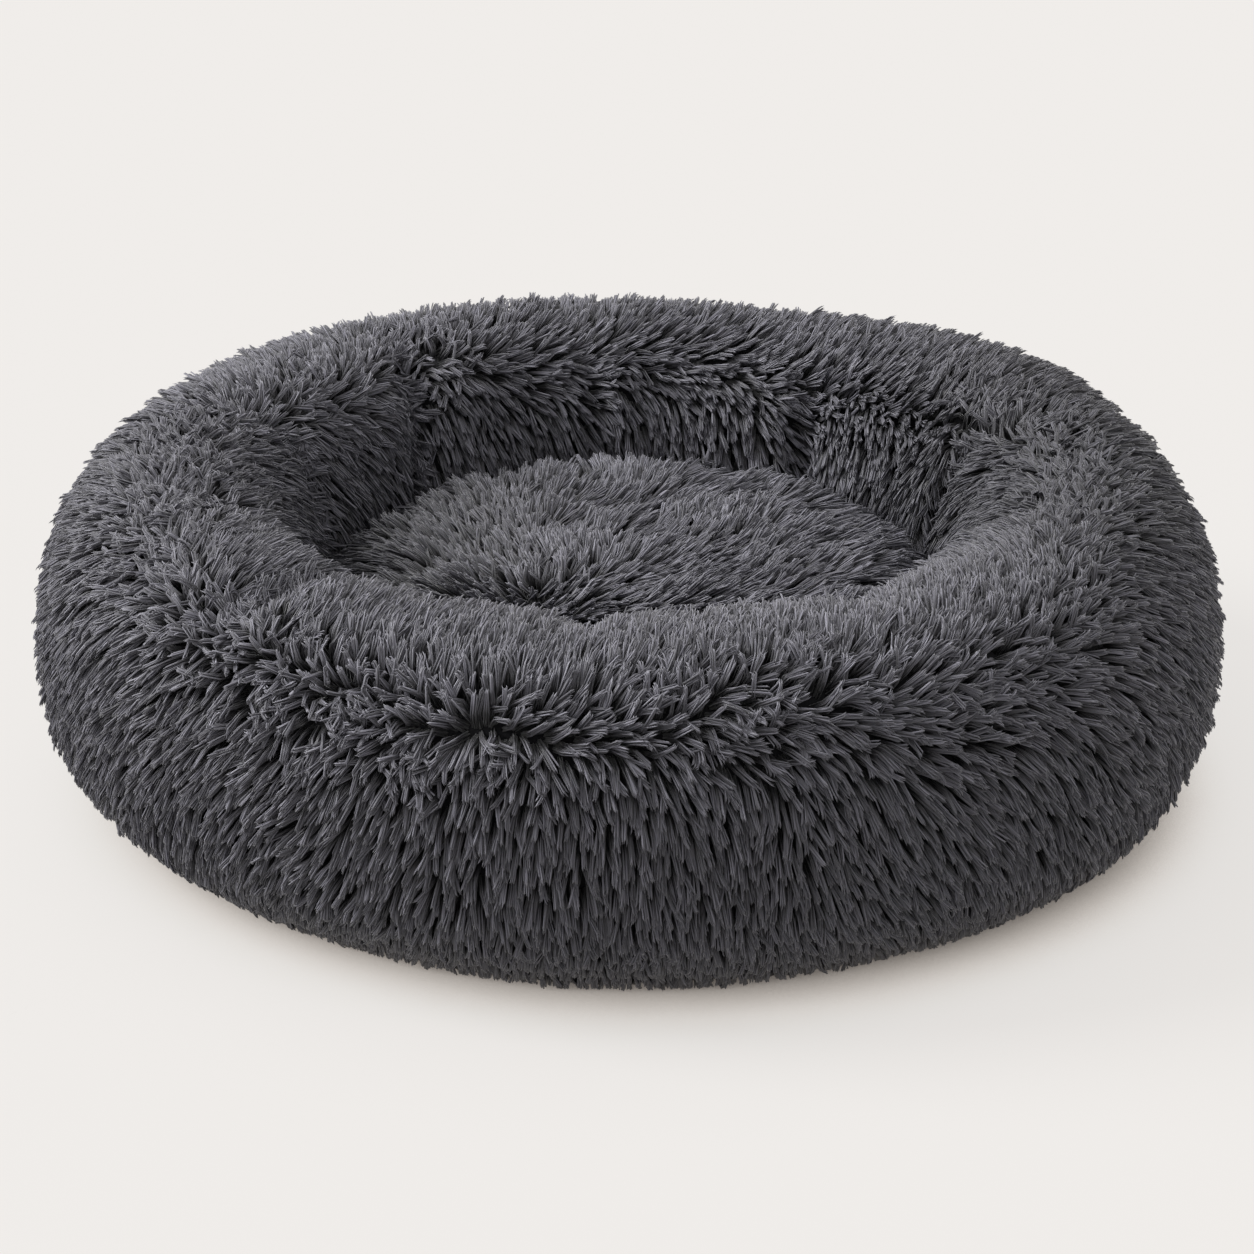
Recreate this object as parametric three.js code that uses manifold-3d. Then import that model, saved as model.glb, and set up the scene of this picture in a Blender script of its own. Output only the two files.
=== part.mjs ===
// Round "donut" pet bed: a stuffed plush ring round a loose plush cushion, on a base panel with grip dots. The
// ring's filling lies in a bag of its own, and its cover opens with a zip low at the back.
// Millimetres, +Z up. The origin is on the floor at the bed's centre, -Y is the front and +Y the back.

import * as THREE from "three";
import { mergeVertices } from "three/addons/utils/BufferGeometryUtils.js";
import Module from "manifold-3d";

const wasm = await Module();
wasm.setup();

// Ring, measured over its pile.
const bedRadius = 296; // at its widest
const crownRadius = 232; // where it is highest
const throatRadius = 158; // round the well, at its narrowest
const ringHeight = 166;
const ringSag = 5; // how far its round underside is pressed flat
const pileThickness = 14; // backing and lying pile together
const pressedPileThickness = 1.2; // under the ring's weight
const linerThickness = 1;
const layerGap = 0.3; // between pieces that lie against each other

// Roundness of the ring's section: 2 is an ellipse, and more is boxier.
const outerRoundness = 2.15;
const wellTopRoundness = 2.2;
const wellFootRoundness = 3.4;

// Seams of the ring's cover, in degrees round its section: 0 faces outward, 90 up and 180 into the well.
const outerSeamAngle = -80;
const shoulderSeamAngle = 40;
const wellSeamAngle = 260;
const seamHalfGapAngle = 0.15;
const layerCornerStart = -60; // the hidden layers have flat sides between their corners
const layerCornerStep = 40;

// Gathers: soft creases down the well's wall, where the stuffed ring is bent round. Angles are in degrees.
const gatherAngles = [15, 52.5, 97.5, 135, 165, 202.5, 225, 262.5, 300, 337.5]; // round the bed
const gatherDepthShares = [0.56, 0.5, 0.31, 0.62, 0.62, 0.5, 0.5, 0.37, 0.37, 0.43]; // of the pile's thickness
const gatherHalfWidth = 5; // round the bed
const gatherFadeAngle = 55; // round the section, where they begin
const gatherFullAngle = 120;

// Base panel.
const baseThickness = 1.2;
const baseSeamAllowance = 4; // past the cover's seam
const dotHeight = 0.8;
const dotRadius = 4.5;
const dotPitch = 60;
const dotSides = 6;

// Loose cushion, measured over its pile.
const cushionClearance = 7; // to the well's wall
const cushionTopHeight = 114; // above the floor
const cushionSeamHeight = 56; // above the floor
const cushionSag = 4; // how far its round underside is pressed flat
const cushionPileThickness = 12;
const cushionClothThickness = 1.2;
const cushionTopRoundness = 5;
const cushionFootRoundness = 3.2;

// Zip.
const zipMiddleAngle = 90; // degrees round the bed: the back
const zipLength = 324; // of its teeth
const tapeWidth = 7.5;
const tapeThickness = 0.7;
const toothPitch = 6.6;
const toothLength = 1.9; // along the zip
const toothReach = 2.6; // across it
const toothThickness = 1.8;
const toothCordWidth = 1;
const toothCordThickness = 2.4; // the cord that carries the teeth
const chainHalfGap = 0.6; // half the channel between the two rows of teeth
const stopLength = 3;
const slotClearance = 2; // between the slider and the cover's edges

// Slider and pull.
const sliderLength = 10; // from its nose to the root of its round head
const sliderWidth = 9;
const sliderNoseWidth = 6;
const sliderPlateThickness = 1.3;
const sliderPostWidth = 0.6;
const sliderPostLength = 3;
const earThickness = 0.9;
const earLength = 2.6;
const pivotRadius = 0.6;
const barrelWall = 0.9;
const barrelWidth = 3.4;
const pullLength = 18;
const pullWidth = 6;
const pullThickness = 1.3;
const pullHoleRadius = 1.3;
const runningGap = 0.3; // round what slides or turns
const cutOverrun = 20; // how far a cut runs past what it cuts

// Steps of curves.
const ringSteps = 48;
const zipSteps = 2 * ringSteps;
const cushionSteps = 36;
const outerFaceSteps = 12;
const wellFaceSteps = 18;
const cushionFaceSteps = 10;
const cushionBackSteps = 6;
const smallRoundSteps = 12;

const degrees = THREE.MathUtils.degToRad;
const baseTop = dotHeight + baseThickness;
const restHeight = baseTop + layerGap;
const linerDepth = pileThickness + layerGap;
const fillDepth = linerDepth + linerThickness + layerGap;
const cushionRadius = throatRadius - cushionClearance;

const finishes = {
  plush: { color: 0x57575c, roughness: 0.95, metalness: 0 },
  baseCloth: { color: 0x2f2f32, roughness: 0.75, metalness: 0 },
  liner: { color: 0xe4e2dc, roughness: 0.9, metalness: 0 },
  filling: { color: 0xf2f0ea, roughness: 1, metalness: 0 },
  tape: { color: 0x3c3c40, roughness: 0.85, metalness: 0 },
  teeth: { color: 0x2b2b2e, roughness: 0.5, metalness: 0 },
  zipMetal: { color: 0x3a3a3e, roughness: 0.4, metalness: 0.3 },
};

function piece(name, geometry, finish) {
  const mesh = new THREE.Mesh(geometry, new THREE.MeshStandardMaterial(finishes[finish]));
  mesh.name = name;
  return mesh;
}

// Joins shared corners, drops the slivers this leaves, and makes every face point out.
function closed(geometry) {
  const bare = new THREE.BufferGeometry();
  bare.setAttribute("position", geometry.getAttribute("position"));
  bare.setIndex(geometry.index);
  const merged = mergeVertices(bare, layerGap / 1000);
  const places = merged.getAttribute("position");
  const [a, b, c] = [new THREE.Vector3(), new THREE.Vector3(), new THREE.Vector3()];
  const corners = [];
  let volume = 0;
  for (let i = 0; i < merged.index.count; i += 3) {
    const face = [merged.index.getX(i), merged.index.getX(i + 1), merged.index.getX(i + 2)];
    if (new Set(face).size < face.length) continue;
    corners.push(...face);
    a.fromBufferAttribute(places, face[0]);
    b.fromBufferAttribute(places, face[1]);
    c.fromBufferAttribute(places, face[2]);
    volume += a.dot(b.cross(c));
  }
  merged.setIndex(volume < 0 ? corners.reverse() : corners);
  merged.computeVertexNormals();
  return merged;
}

function solid(geometry) {
  const whole = closed(geometry);
  return new wasm.Manifold(
    new wasm.Mesh({
      numProp: 3,
      vertProperties: whole.getAttribute("position").array,
      triVerts: new Uint32Array(whole.index.array),
    }),
  );
}

function geometryOf(made) {
  const mesh = made.getMesh();
  const geometry = new THREE.BufferGeometry();
  geometry.setAttribute("position", new THREE.BufferAttribute(mesh.vertProperties, 3));
  geometry.setIndex(new THREE.BufferAttribute(mesh.triVerts, 1));
  geometry.computeVertexNormals();
  return geometry;
}

// Turns a profile of (radius, height) points round the bed's axis.
function turned(profile, steps) {
  return new THREE.LatheGeometry(profile, steps).rotateX(degrees(90));
}

// The same for a profile that closes on itself, away from the axis.
function turnedRing(profile, steps) {
  return turned([...profile, profile[0]], steps);
}

function block(low, high) {
  const size = new THREE.Vector3().subVectors(high, low);
  const middle = new THREE.Vector3().addVectors(low, high).divideScalar(2);
  return new THREE.BoxGeometry(size.x, size.y, size.z).translate(middle.x, middle.y, middle.z);
}

// An outline in x and y, from one height to another.
function plate(outline, low, high) {
  const options = { depth: high - low, bevelEnabled: false, curveSegments: smallRoundSteps };
  return new THREE.ExtrudeGeometry(outline, options).translate(0, 0, low);
}

// One quarter wave of a superellipse.
function boxed(wave, roundness) {
  return Math.sign(wave) * Math.abs(wave) ** (2 / roundness);
}

// A point of the ring's section, (radius, height), at an angle round it and a depth under the lie of the pile.
function ringPoint(angle, depth) {
  const across = Math.cos(degrees(angle));
  const up = Math.sin(degrees(angle));
  const wellRoundness = up > 0 ? wellTopRoundness : wellFootRoundness;
  const roundness = across > 0 ? outerRoundness : wellRoundness;
  const reach = across > 0 ? bedRadius - crownRadius : crownRadius - throatRadius;
  const pressedDepth = Math.min(depth / pileThickness, 1) * pressedPileThickness;
  const rest = restHeight + pressedDepth + Math.max(depth - pileThickness, 0);
  const halfHeight = (ringHeight - depth - rest + ringSag) / 2;
  const middle = ringHeight - depth - halfHeight;
  return new THREE.Vector2(
    crownRadius + (reach - depth) * boxed(across, roundness),
    Math.max(middle + halfHeight * boxed(up, roundness), rest),
  );
}

function evenAngles(from, to, steps) {
  return Array.from({ length: steps + 1 }, (_, i) => THREE.MathUtils.lerp(from, to, i / steps));
}

// The corners of the hidden layers between two angles round the section, with the angles themselves.
function cornerAngles(from, to) {
  const corners = [from];
  for (let angle = layerCornerStart; angle < to; angle += layerCornerStep) {
    if (angle > from) corners.push(angle);
  }
  return [...corners, to];
}

// A hidden layer of the ring, right through.
function ringLayer(depth) {
  const angles = cornerAngles(layerCornerStart, layerCornerStart + 360).slice(0, -1);
  return solid(turnedRing(angles.map((angle) => ringPoint(angle, depth)), ringSteps));
}

// How much of the pile's thickness the gathers take, at an angle round the bed and one round the section.
function gatherShare(bedAngle, sectionAngle) {
  const begun = THREE.MathUtils.smoothstep(sectionAngle, gatherFadeAngle, gatherFullAngle);
  const left = 1 - THREE.MathUtils.smoothstep(sectionAngle, 180, wellSeamAngle);
  const shares = gatherAngles.map((angle, i) => {
    const off = (THREE.MathUtils.euclideanModulo(bedAngle - angle + 180, 360) - 180) / gatherHalfWidth;
    return gatherDepthShares[i] * Math.exp(-off * off);
  });
  return Math.max(...shares) * begun * left;
}

// Plush panel of the ring's cover, between two seams.
function plushPanel(fromAngle, toAngle, faceSteps) {
  const faceAngles = evenAngles(fromAngle, toAngle, faceSteps);
  const face = faceAngles.map((angle) => ringPoint(angle, 0));
  const back = cornerAngles(fromAngle, toAngle).map((angle) => ringPoint(angle, pileThickness));
  const profile = [...face, ...back.reverse(), face[0]];
  const panel = turned(profile, ringSteps);
  const places = panel.getAttribute("position");
  for (let i = 0; i < places.count; i++) {
    const along = (i % profile.length) % (profile.length - 1);
    if (along > faceSteps) continue;
    const bedAngle = Math.atan2(places.getY(i), places.getX(i));
    const under = ringPoint(faceAngles[along], pileThickness);
    const share = gatherShare(THREE.MathUtils.radToDeg(bedAngle), faceAngles[along]);
    const point = face[along].clone().lerp(under, share);
    places.setXYZ(i, point.x * Math.cos(bedAngle), point.x * Math.sin(bedAngle), point.y);
  }
  return panel;
}

// The zip lies on a flat stretch of the cover's inside. In its own frame x runs along it, round the bed, y up
// the section and z out of the cover, and z = 0 is the cover's inside.
const zipFoot = ringPoint(layerCornerStart, pileThickness);
const zipHead = ringPoint(layerCornerStart + layerCornerStep, pileThickness);
const zipMiddle = zipFoot.clone().lerp(zipHead, 1 / 2);
const zipUp = new THREE.Vector2().subVectors(zipHead, zipFoot).normalize();
const zipOut = new THREE.Vector2(zipUp.y, -zipUp.x);

function angleAlongZip(length) {
  return THREE.MathUtils.radToDeg(length / zipMiddle.x);
}

// The tapes and the cover's slot run on past the teeth, so that the pull can lie either way at both ends.
const chainHalfAngle = angleAlongZip(zipLength / 2);
const stopAngle = chainHalfAngle + angleAlongZip(layerGap + stopLength / 2);
const sliderHeadReach = sliderLength / 4 + sliderWidth / 2;
const slotHalfAngle = chainHalfAngle + angleAlongZip(pullLength + slotClearance - sliderHeadReach);
const sliderClosedAngle = zipMiddleAngle - chainHalfAngle + angleAlongZip(sliderHeadReach);

const toothInner = -(tapeThickness + toothThickness) / 2;
const toothOuter = toothInner + toothThickness;
const cordInner = -(tapeThickness + toothCordThickness) / 2;
const cordOuter = cordInner + toothCordThickness;
const chainInner = Math.min(toothInner, cordInner);
const chainOuter = Math.max(toothOuter, cordOuter);
const chainHalfWidth = chainHalfGap + toothReach;
const tapeNear = chainHalfWidth + layerGap;
const tapeFar = tapeNear + tapeWidth;
const plateInner = chainInner - runningGap - sliderPlateThickness;
const plateOuter = chainOuter + runningGap + sliderPlateThickness;
const barrelRadius = pivotRadius + runningGap + barrelWall;
const pivotHeight = plateOuter + runningGap + barrelRadius;

// A band of the zip, from one height up the section to another and from one depth to another.
function zipBand(fromUp, toUp, fromOut, toOut, halfAngle) {
  const corners = [
    [fromUp, fromOut],
    [toUp, fromOut],
    [toUp, toOut],
    [fromUp, toOut],
  ];
  const profile = corners.map(([up, out]) =>
    zipMiddle.clone().addScaledVector(zipUp, up).addScaledVector(zipOut, out),
  );
  const wedge = new THREE.Shape();
  wedge.moveTo(0, 0);
  const reach = bedRadius + cutOverrun;
  wedge.absarc(0, 0, reach, degrees(zipMiddleAngle - halfAngle), degrees(zipMiddleAngle + halfAngle));
  wedge.lineTo(0, 0);
  return solid(turnedRing(profile, zipSteps)).intersect(solid(plate(wedge, -ringHeight, ringHeight)));
}

// A group in the zip's own frame, at an angle round the bed. The outer group is the one to add.
function atZip(angle) {
  const along = new THREE.Vector3(0, 1, 0);
  const up = new THREE.Vector3(zipUp.x, 0, zipUp.y);
  const out = new THREE.Vector3(zipOut.x, 0, zipOut.y);
  const inner = new THREE.Group();
  inner.quaternion.setFromRotationMatrix(new THREE.Matrix4().makeBasis(along, up, out));
  inner.position.set(zipMiddle.x, 0, zipMiddle.y);
  const outer = new THREE.Group();
  outer.rotation.z = degrees(angle);
  outer.add(inner);
  return { outer, inner };
}

const slotHalfWidth = sliderWidth / 2 + slotClearance;
const coverSlot = zipBand(-slotHalfWidth, slotHalfWidth, -cutOverrun, cutOverrun, slotHalfAngle);
const zipRoom = zipBand(
  -tapeFar - layerGap,
  tapeFar + layerGap,
  plateInner - runningGap,
  layerGap,
  slotHalfAngle + angleAlongZip(layerGap),
);

function makeOuterCover() {
  const panel = solid(plushPanel(outerSeamAngle, shoulderSeamAngle - seamHalfGapAngle, outerFaceSteps));
  return piece("bolster_outer_cover", geometryOf(panel.subtract(coverSlot).subtract(zipRoom)), "plush");
}

function makeWellCover() {
  const panel = plushPanel(shoulderSeamAngle + seamHalfGapAngle, wellSeamAngle, wellFaceSteps);
  return piece("bolster_well_cover", closed(panel), "plush");
}

// The bag's mouth is behind the zip.
function makeLinerBag() {
  const bag = ringLayer(linerDepth).subtract(ringLayer(linerDepth + linerThickness));
  return piece("bolster_liner_bag", geometryOf(bag.subtract(zipRoom)), "liner");
}

function makeRingFilling() {
  return piece("bolster_fibre_filling", geometryOf(ringLayer(fillDepth).subtract(zipRoom)), "filling");
}

function makeBasePanel() {
  const radius = ringPoint(outerSeamAngle, 0).x + baseSeamAllowance;
  const profile = [
    new THREE.Vector2(0, dotHeight),
    new THREE.Vector2(radius, dotHeight),
    new THREE.Vector2(radius, baseTop),
    new THREE.Vector2(0, baseTop),
  ];
  let panel = solid(turned(profile, ringSteps));
  const rowPitch = dotPitch * Math.sin(degrees(60));
  const rows = Math.floor(radius / rowPitch);
  const dotTop = dotHeight + baseThickness / 2;
  for (let row = -rows; row <= rows; row++) {
    for (let column = -rows; column <= rows; column++) {
      const x = (column + (row % 2) / 2) * dotPitch;
      const y = row * rowPitch;
      if (Math.hypot(x, y) > radius - 2 * dotRadius) continue;
      const dot = new THREE.CylinderGeometry(dotRadius, dotRadius, dotTop, dotSides);
      panel = panel.add(solid(dot.rotateX(degrees(90)).translate(x, y, dotTop / 2)));
    }
  }
  return piece("base_panel", geometryOf(panel), "baseCloth");
}

// A point of the cushion's section, (radius, height). At 90 degrees it is the middle of its top.
function cushionPoint(angle, depth) {
  const up = Math.sin(degrees(angle));
  const roundness = up > 0 ? cushionTopRoundness : cushionFootRoundness;
  const rest = restHeight + depth;
  const crown = cushionTopHeight - depth - cushionSeamHeight;
  const reach = up > 0 ? crown : cushionSeamHeight - rest + cushionSag;
  return new THREE.Vector2(
    (cushionRadius - depth) * boxed(Math.cos(degrees(angle)), roundness),
    Math.max(cushionSeamHeight + reach * boxed(up, roundness), rest),
  );
}

function cushionArc(from, to, depth, steps) {
  return evenAngles(from, to, steps).map((angle) => cushionPoint(angle, depth));
}

function makeCushion() {
  const face = cushionArc(90, 0, 0, cushionFaceSteps);
  const back = cushionArc(0, 90, cushionPileThickness, cushionBackSteps);
  face.at(-1).y += layerGap;
  back.at(0).y += layerGap;
  const under = cushionArc(-90, 0, 0, cushionBackSteps);
  const inside = cushionArc(0, -90, cushionClothThickness, cushionBackSteps);
  const fillFoot = cushionArc(-90, 0, cushionClothThickness + layerGap, cushionBackSteps);
  const fillTop = cushionArc(0, 90, cushionPileThickness + layerGap, cushionBackSteps);
  const cushion = new THREE.Group();
  cushion.add(
    piece("cushion_top_cover", closed(turned([...face, ...back], cushionSteps)), "plush"),
    piece("cushion_bottom_cover", closed(turned([...under, ...inside], cushionSteps)), "tape"),
    piece("cushion_fibre_filling", closed(turned([...fillFoot, ...fillTop], cushionSteps)), "filling"),
  );
  return cushion;
}

// From near the zip's middle to far from it, on its upper half (side 1) or its lower half (side -1).
function span(side, near, far) {
  return side > 0 ? [near, far] : [-far, -near];
}

function makeTape(name, side) {
  const [low, high] = span(side, tapeNear, tapeFar);
  return piece(name, geometryOf(zipBand(low, high, -tapeThickness, 0, slotHalfAngle)), "tape");
}

function makeTeeth(name, side) {
  const [cordLow, cordHigh] = span(side, chainHalfWidth - toothCordWidth, chainHalfWidth);
  const [toothLow, toothHigh] = span(side, chainHalfGap, chainHalfWidth - toothCordWidth / 2);
  let row = zipBand(cordLow, cordHigh, cordInner, cordOuter, chainHalfAngle);
  const count = Math.floor(zipLength / toothPitch);
  for (let i = 0; i < count; i++) {
    const along = (i - (count - 1) / 2 + side / 4) * toothPitch;
    const { outer, inner } = atZip(zipMiddleAngle + angleAlongZip(along));
    outer.updateMatrixWorld(true);
    const tooth = block(
      new THREE.Vector3(-toothLength / 2, toothLow, toothInner),
      new THREE.Vector3(toothLength / 2, toothHigh, toothOuter),
    );
    row = row.add(solid(tooth.applyMatrix4(inner.matrixWorld)));
  }
  return piece(name, geometryOf(row), "teeth");
}

function makeEndStop(name, side) {
  const { outer, inner } = atZip(zipMiddleAngle + side * stopAngle);
  const stop = block(
    new THREE.Vector3(-stopLength / 2, -chainHalfWidth, chainInner),
    new THREE.Vector3(stopLength / 2, chainHalfWidth, chainOuter),
  );
  inner.add(piece(name, stop, "zipMetal"));
  return outer;
}

// Two plates joined by a post between the rows of teeth, and two ears with the pull's pivot between them.
function makeSlider() {
  const nose = sliderLength / 2;
  const outline = new THREE.Shape();
  outline.moveTo(nose, -sliderNoseWidth / 2);
  outline.lineTo(nose, sliderNoseWidth / 2);
  outline.lineTo(-nose / 2, sliderWidth / 2);
  outline.absarc(-nose / 2, 0, sliderWidth / 2, degrees(90), degrees(270));
  outline.lineTo(nose, -sliderNoseWidth / 2);
  const post = block(
    new THREE.Vector3(-nose, -sliderPostWidth / 2, plateInner + sliderPlateThickness / 2),
    new THREE.Vector3(-nose + sliderPostLength, sliderPostWidth / 2, plateOuter - sliderPlateThickness / 2),
  );
  const earNear = barrelWidth / 2 + runningGap;
  const earFar = earNear + earThickness;
  const earTop = pivotHeight + pivotRadius + earThickness / 2;
  const pivotLength = earNear + earFar;
  const pivot = new THREE.CylinderGeometry(pivotRadius, pivotRadius, pivotLength, smallRoundSteps);
  let slider = solid(plate(outline, plateInner, plateInner + sliderPlateThickness))
    .add(solid(plate(outline, plateOuter - sliderPlateThickness, plateOuter)))
    .add(solid(post))
    .add(solid(pivot.translate(0, 0, pivotHeight)));
  for (const [low, high] of [
    [-earFar, -earNear],
    [earNear, earFar],
  ]) {
    const ear = block(
      new THREE.Vector3(-earLength / 2, low, plateOuter - sliderPlateThickness / 2),
      new THREE.Vector3(earLength / 2, high, earTop),
    );
    slider = slider.add(solid(ear));
  }
  return piece("zip_slider", geometryOf(slider), "zipMetal");
}

function makePull() {
  const half = pullWidth / 2;
  const root = (pivotRadius + runningGap + barrelRadius) / 2;
  const neck = earLength / 2 + runningGap + half;
  const outline = new THREE.Shape();
  outline.moveTo(root, -barrelWidth / 2);
  outline.lineTo(neck - barrelWall, -barrelWidth / 2);
  outline.lineTo(neck, -half);
  outline.absarc(pullLength - half, 0, half, degrees(-90), degrees(90));
  outline.lineTo(neck, half);
  outline.lineTo(neck - barrelWall, barrelWidth / 2);
  outline.lineTo(root, barrelWidth / 2);
  outline.lineTo(root, -barrelWidth / 2);
  const hole = new THREE.Path();
  hole.absarc(pullLength - half, 0, pullHoleRadius, 0, degrees(360), true);
  outline.holes.push(hole);
  const eyeRadius = pivotRadius + runningGap;
  const barrel = new THREE.CylinderGeometry(barrelRadius, barrelRadius, barrelWidth, smallRoundSteps);
  const eye = new THREE.CylinderGeometry(eyeRadius, eyeRadius, barrelWidth + cutOverrun, smallRoundSteps);
  const made = solid(plate(outline, -pullThickness / 2, pullThickness / 2)).add(solid(barrel));
  const pull = piece("zip_pull", geometryOf(made.subtract(solid(eye))), "zipMetal");
  pull.position.z = pivotHeight;
  return pull;
}

const bed = new THREE.Group();
bed.add(makeOuterCover(), makeWellCover(), makeLinerBag(), makeRingFilling(), makeBasePanel(), makeCushion());
bed.add(makeTape("zip_upper_tape", 1), makeTape("zip_lower_tape", -1));
bed.add(makeTeeth("zip_upper_teeth", 1), makeTeeth("zip_lower_teeth", -1));
bed.add(makeEndStop("zip_closed_end_stop", -1), makeEndStop("zip_open_end_stop", 1));
const sliderPlace = atZip(sliderClosedAngle);
sliderPlace.inner.add(makeSlider(), makePull());
bed.add(sliderPlace.outer);

export default bed;
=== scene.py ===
# A round plush pet bed: a stuffed ring and a loose cushion, both in long dark grey pile, on a base with grip
# dots. Metres, +Z up, -Y the front. The pile is made of locks, and each lock of fibres side by side.
import math

import bpy
import numpy as np
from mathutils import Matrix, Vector


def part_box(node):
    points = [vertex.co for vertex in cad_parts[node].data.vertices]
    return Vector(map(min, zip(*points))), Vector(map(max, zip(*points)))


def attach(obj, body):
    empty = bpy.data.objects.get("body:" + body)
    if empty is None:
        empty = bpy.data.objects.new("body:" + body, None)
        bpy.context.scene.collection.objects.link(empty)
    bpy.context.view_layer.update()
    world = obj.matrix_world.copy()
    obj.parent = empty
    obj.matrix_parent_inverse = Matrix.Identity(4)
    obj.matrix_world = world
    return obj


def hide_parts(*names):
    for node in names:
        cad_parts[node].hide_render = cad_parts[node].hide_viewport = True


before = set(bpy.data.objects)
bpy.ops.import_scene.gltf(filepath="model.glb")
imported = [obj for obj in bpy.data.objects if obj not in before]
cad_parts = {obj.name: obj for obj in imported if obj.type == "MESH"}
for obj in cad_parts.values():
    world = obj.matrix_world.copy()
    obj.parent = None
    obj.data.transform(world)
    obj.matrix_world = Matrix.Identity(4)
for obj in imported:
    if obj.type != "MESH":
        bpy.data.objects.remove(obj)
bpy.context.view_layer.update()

# Sizes that the frame holds.
bed_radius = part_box("bolster_outer_cover")[1].x
ring_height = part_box("bolster_well_cover")[1].z
cushion_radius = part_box("cushion_top_cover")[1].x
cushion_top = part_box("cushion_top_cover")[1].z
cushion_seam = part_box("cushion_bottom_cover")[1].z
base_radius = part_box("base_panel")[1].x
base_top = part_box("base_panel")[1].z

# The ring's section, as the frame's pieces have it.
crown_radius = 0.232
throat_gap = 0.007
throat_radius = cushion_radius + throat_gap
ring_sag = 0.005
pile_thickness = 0.014
pressed_pile = 0.0012
layer_gap = 0.0003
rest_height = base_top + layer_gap
outer_roundness = 2.15
well_top_roundness = 2.2
well_foot_roundness = 3.4
shoulder_seam_angle = 40
outer_seam_angle = -80
well_seam_angle = 260
seam_gap_angle = 0.3

# The cushion's section.
cushion_sag = 0.004
cushion_top_roundness = 5
cushion_foot_roundness = 3.2

# Cloth and fillings: how deep their outer faces lie under the section, and how thick they are.
root_depth = 0.0085
cushion_backing_depth = root_depth - 0.001
backing_thickness = 0.0012
underside_thickness = 0.0011
liner_depth = 0.0144
liner_thickness = 0.0006
liner_last_angle = 279.9  # just short of where it begins
filling_depth = 0.0192
cushion_filling_depth = 0.0145
filling_thickness = 0.004
filling_lumps = 0.0009

# Base panel.
base_thickness = 0.0012
dot_radius = 0.0045
dot_pitch = 0.060
dot_sink = 0.0002
stitch_length = 0.0031
stitch_pitch = 0.0042
thread_thickness = 0.0006
seam_inset = 0.006

# Pile.
pile_length = 0.021
lock_pitch_across = 0.0031
lock_pitch_along = 0.0056
lock_half_width = 0.00125
lock_depth_share = 0.6
fibre_thickness = 0.00092
fibres_per_lock = 7
fibre_shares = np.array([0, 0.45, 0.92, 1])  # where its rings and its tip are, root to tip
fibre_girth_shares = np.array([0.9, 1, 0.85])
fibre_painted_highlights = np.array([1.75, 0.56, 0.7])  # painted highlight and shade round a fibre: one side coloured lighter and two darker, standing in for the bright line that light draws along it
floor_clearance = 0.0012

# Zip, low at the back, on the flat stretch of the cover's inside between two angles round the section.
zip_middle_angle = 90
zip_foot_angle = -60
zip_head_angle = -20
slot_half_angle = 37.3
slot_angle = (zip_foot_angle + zip_head_angle) / 2
slot_half_width = 0.0065
slot_half_opening = 6.4  # degrees round the section, in the cloth
zip_dip = 0.0045  # how much deeper the pile's cloth lies beside the slot
tape_near = 0.0035  # from the middle of the zip
tape_far = 0.011
tape_thickness = 0.0007


def boxed(wave, roundness):
    """A sine or cosine, bent so that the two draw a superellipse."""
    return np.sign(wave) * np.abs(wave) ** (2 / roundness)


def ring_point(angle, depth):
    """(radius, height) of the ring's section at an angle, 0 outward and 90 up, and a depth under it."""
    across, up = np.cos(np.radians(angle)), np.sin(np.radians(angle))
    well_roundness = np.where(up > 0, well_top_roundness, well_foot_roundness)
    roundness = np.where(across > 0, outer_roundness, well_roundness)
    reach = np.where(across > 0, bed_radius - crown_radius, crown_radius - throat_radius)
    pressed = np.minimum(depth / pile_thickness, 1) * pressed_pile
    rest = rest_height + pressed + np.maximum(depth - pile_thickness, 0)
    half_height = (ring_height - depth - rest + ring_sag) / 2
    middle = ring_height - depth - half_height
    radius = crown_radius + (reach - depth) * boxed(across, roundness)
    return radius, np.maximum(middle + half_height * boxed(up, roundness), rest)


def cushion_point(angle, depth):
    """(radius, height) of the cushion's section at an angle: 0 is its side and 90 the middle of its top."""
    up = np.sin(np.radians(angle))
    roundness = np.where(up > 0, cushion_top_roundness, cushion_foot_roundness)
    rest = rest_height + depth
    reach = np.where(up > 0, cushion_top - depth - cushion_seam, cushion_seam - rest + cushion_sag)
    radius = (cushion_radius - depth) * boxed(np.cos(np.radians(angle)), roundness)
    return radius, np.maximum(cushion_seam + reach * boxed(up, roundness), rest)


class Section:
    """A section's line at one depth, followed by its length."""

    def __init__(self, point, first, last, depth):
        self.angles = np.linspace(first, last, 1441)
        self.places = np.stack(point(self.angles, depth), -1)
        steps = np.diff(self.places, axis=0)
        self.lengths = np.concatenate([[0], np.cumsum(np.hypot(steps[:, 0], steps[:, 1]))])
        tangent = np.gradient(self.places, axis=0)
        tangent /= np.linalg.norm(tangent, axis=1, keepdims=True)
        self.normals = np.stack([tangent[:, 1], -tangent[:, 0]], -1)

    def angle(self, length):
        return np.interp(length, self.lengths, self.angles)

    def length(self, angle):
        return np.interp(angle, self.angles, self.lengths)

    def at(self, length, height):
        """(radius, height) of the point at a length along the line and a height over it."""
        radius = np.interp(length, self.lengths, self.places[:, 0])
        level = np.interp(length, self.lengths, self.places[:, 1])
        out = np.interp(length, self.lengths, self.normals[:, 0])
        up = np.interp(length, self.lengths, self.normals[:, 1])
        return radius + out * height, level + up * height


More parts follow.
